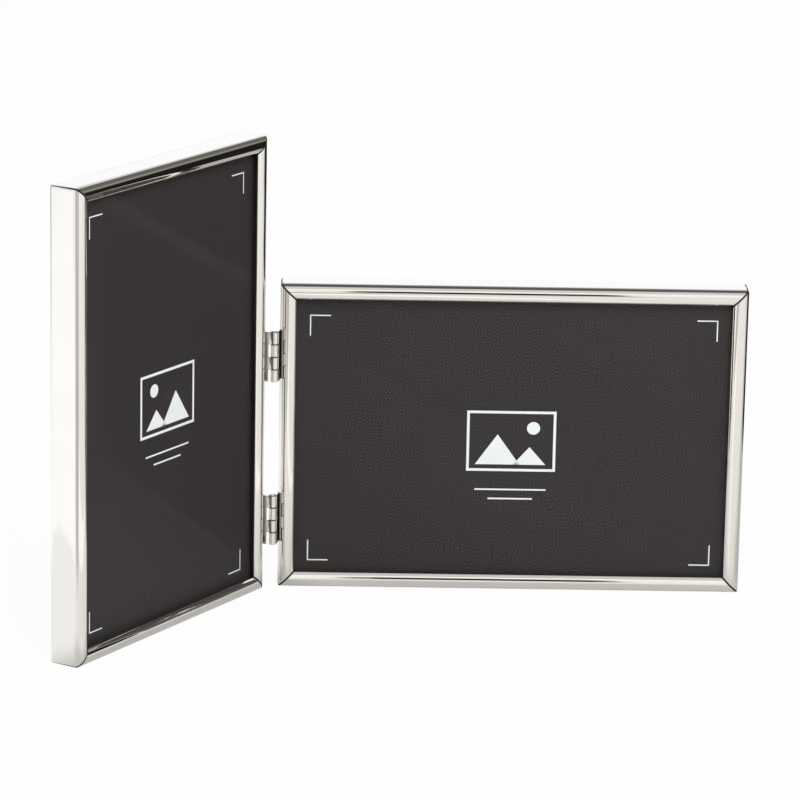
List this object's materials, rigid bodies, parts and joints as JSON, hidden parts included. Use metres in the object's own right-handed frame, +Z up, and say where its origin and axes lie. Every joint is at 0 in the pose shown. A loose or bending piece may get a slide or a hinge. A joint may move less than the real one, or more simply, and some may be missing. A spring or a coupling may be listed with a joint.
{
  "type": "double photo frame",
  "caption": "Hinged double picture frame in polished silver-coloured metal, one opening upright and one lying, that folds shut like a book.",
  "frame": {"origin": "on the table, under the middle of the open object's box", "axes": "+Z up, +X along the lying frame from the hinges to its outer side, -Y towards the viewer of the lying frame"},
  "size_m": [0.227, 0.1014, 0.1561],
  "materials": {
    "silver_plate": "polished silver plate, slightly warm",
    "glass": "clear float glass",
    "insert": "matt charcoal print on card",
    "grey_card": "plain grey board",
    "velvet_board": "fibreboard covered with short black velvet",
    "plated_steel": "bright zinc plate, stamped"
  },
  "bodies": {
    "right_frame": {"right_top_rail": "silver_plate", "right_bottom_rail": "silver_plate", "right_outer_rail": "silver_plate", "right_hinge_rail": "silver_plate", "right_glass": "glass", "right_insert": "insert", "right_filler_card": "grey_card", "right_backing_board": "velvet_board", "right_button_rivets": "plated_steel", "upper_hinge_right_leaf": "silver_plate", "upper_hinge_pin": "silver_plate", "lower_hinge_right_leaf": "silver_plate", "lower_hinge_pin": "silver_plate"},
    "left_frame": {"left_top_rail": "silver_plate", "left_bottom_rail": "silver_plate", "left_outer_rail": "silver_plate", "left_hinge_rail": "silver_plate", "left_glass": "glass", "left_insert": "insert", "left_filler_card": "grey_card", "left_backing_board": "velvet_board", "left_button_rivets": "plated_steel", "upper_hinge_left_leaf": "silver_plate", "lower_hinge_left_leaf": "silver_plate"},
    "left_button_top": {"left_button_top": "plated_steel"},
    "left_button_bottom": {"left_button_bottom": "plated_steel"},
    "left_button_outer": {"left_button_outer": "plated_steel"},
    "left_button_hinge": {"left_button_hinge": "plated_steel"},
    "right_button_top": {"right_button_top": "plated_steel"},
    "right_button_bottom": {"right_button_bottom": "plated_steel"},
    "right_button_outer": {"right_button_outer": "plated_steel"},
    "right_button_hinge": {"right_button_hinge": "plated_steel"}
  },
  "joints": [
    {"name": "fold", "type": "hinge", "parent": "right_frame", "child": "left_frame", "pos_m": [-0.04443, 0.03729, 0], "axis": [0, 0, 1], "range_deg": [-73, 124]},
    {"name": "left_button_top_turn", "type": "hinge", "parent": "left_frame", "child": "left_button_top", "pos_m": [-0.08407, -0.00189, 0.14785], "axis": [-0.8387, 0.5446, 0], "continuous": true},
    {"name": "left_button_bottom_turn", "type": "hinge", "parent": "left_frame", "child": "left_button_bottom", "pos_m": [-0.08407, -0.00189, 0.00825], "axis": [-0.8387, 0.5446, 0], "continuous": true},
    {"name": "left_button_outer_turn", "type": "hinge", "parent": "left_frame", "child": "left_button_outer", "pos_m": [-0.10825, -0.03913, 0.07805], "axis": [-0.8387, 0.5446, 0], "continuous": true},
    {"name": "left_button_hinge_turn", "type": "hinge", "parent": "left_frame", "child": "left_button_hinge", "pos_m": [-0.05989, 0.03535, 0.07805], "axis": [-0.8387, 0.5446, 0], "continuous": true},
    {"name": "right_button_top_turn", "type": "hinge", "parent": "right_frame", "child": "right_button_top", "pos_m": [0.03542, 0.04919, 0.09705], "axis": [0, 1, 0], "continuous": true},
    {"name": "right_button_bottom_turn", "type": "hinge", "parent": "right_frame", "child": "right_button_bottom", "pos_m": [0.03542, 0.04919, 0.00825], "axis": [0, 1, 0], "continuous": true},
    {"name": "right_button_outer_turn", "type": "hinge", "parent": "right_frame", "child": "right_button_outer", "pos_m": [0.10522, 0.04919, 0.05265], "axis": [0, 1, 0], "continuous": true},
    {"name": "right_button_hinge_turn", "type": "hinge", "parent": "right_frame", "child": "right_button_hinge", "pos_m": [-0.03438, 0.04919, 0.05265], "axis": [0, 1, 0], "continuous": true}
  ]
}
